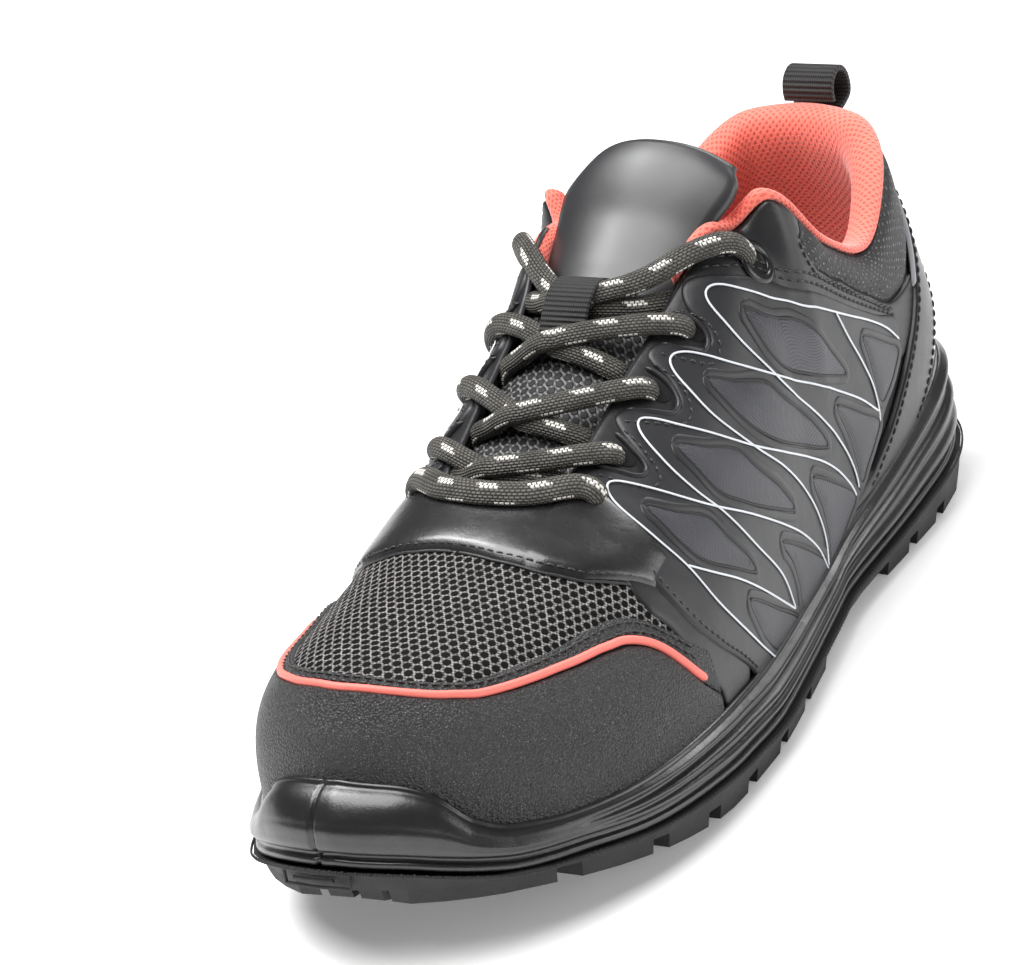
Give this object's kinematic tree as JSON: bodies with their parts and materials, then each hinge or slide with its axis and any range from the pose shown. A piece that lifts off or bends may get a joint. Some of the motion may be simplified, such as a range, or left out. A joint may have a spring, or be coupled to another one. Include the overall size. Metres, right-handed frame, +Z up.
{
  "type": "low safety sneaker",
  "caption": "Low lace-up safety sneaker, left foot: lugged outsole with toe bumper, toe cap cover, mesh and film upper, padded collar, tongue and pull loop.",
  "frame": {"origin": "middle of the footprint's bounding box, on the plane the sole stands on", "axes": "+Y towards the heel, toe towards -Y; +X towards the outer (lateral) side of this left shoe; +Z up"},
  "size_m": [0.1172, 0.3058, 0.1414],
  "materials": {
    "outsole_rubber": "matte, fine tread",
    "midsole_pu": "glossy moulded polyurethane",
    "upper_mesh": "open air mesh over a lining",
    "toe_leather": "grained, semi-matte",
    "piping_coral": "thin cord",
    "band_black": "smooth, glossy",
    "film_grey": "smooth film with woven windows",
    "heel_film": "smooth, glossy",
    "collar_orange": "padded knit",
    "tongue_black": "padded, smooth above and mesh below",
    "insole_grey": "textile",
    "ring_black": "satin",
    "lace_black": "braided cord with light flecks",
    "webbing_black": "ribbed webbing"
  },
  "bodies": {
    "root": {"outsole": "outsole_rubber", "midsole": "midsole_pu", "insole": "insole_grey", "upper": "upper_mesh", "tongue": "tongue_black", "collar_lining": "collar_orange", "toe_cap": "toe_leather", "toe_piping": "piping_coral", "vamp_band": "band_black", "quarter_lateral": "film_grey", "quarter_medial": "film_grey", "heel_strap": "band_black", "heel_clip": "heel_film", "eyelet_ring_lateral": "ring_black", "eyelet_ring_medial": "ring_black", "lace_bar": "lace_black", "lace_cross_1": "lace_black", "lace_cross_2": "lace_black", "lace_cross_3": "lace_black", "lace_cross_4": "lace_black", "pull_loop": "webbing_black"}
  },
  "joints": []
}
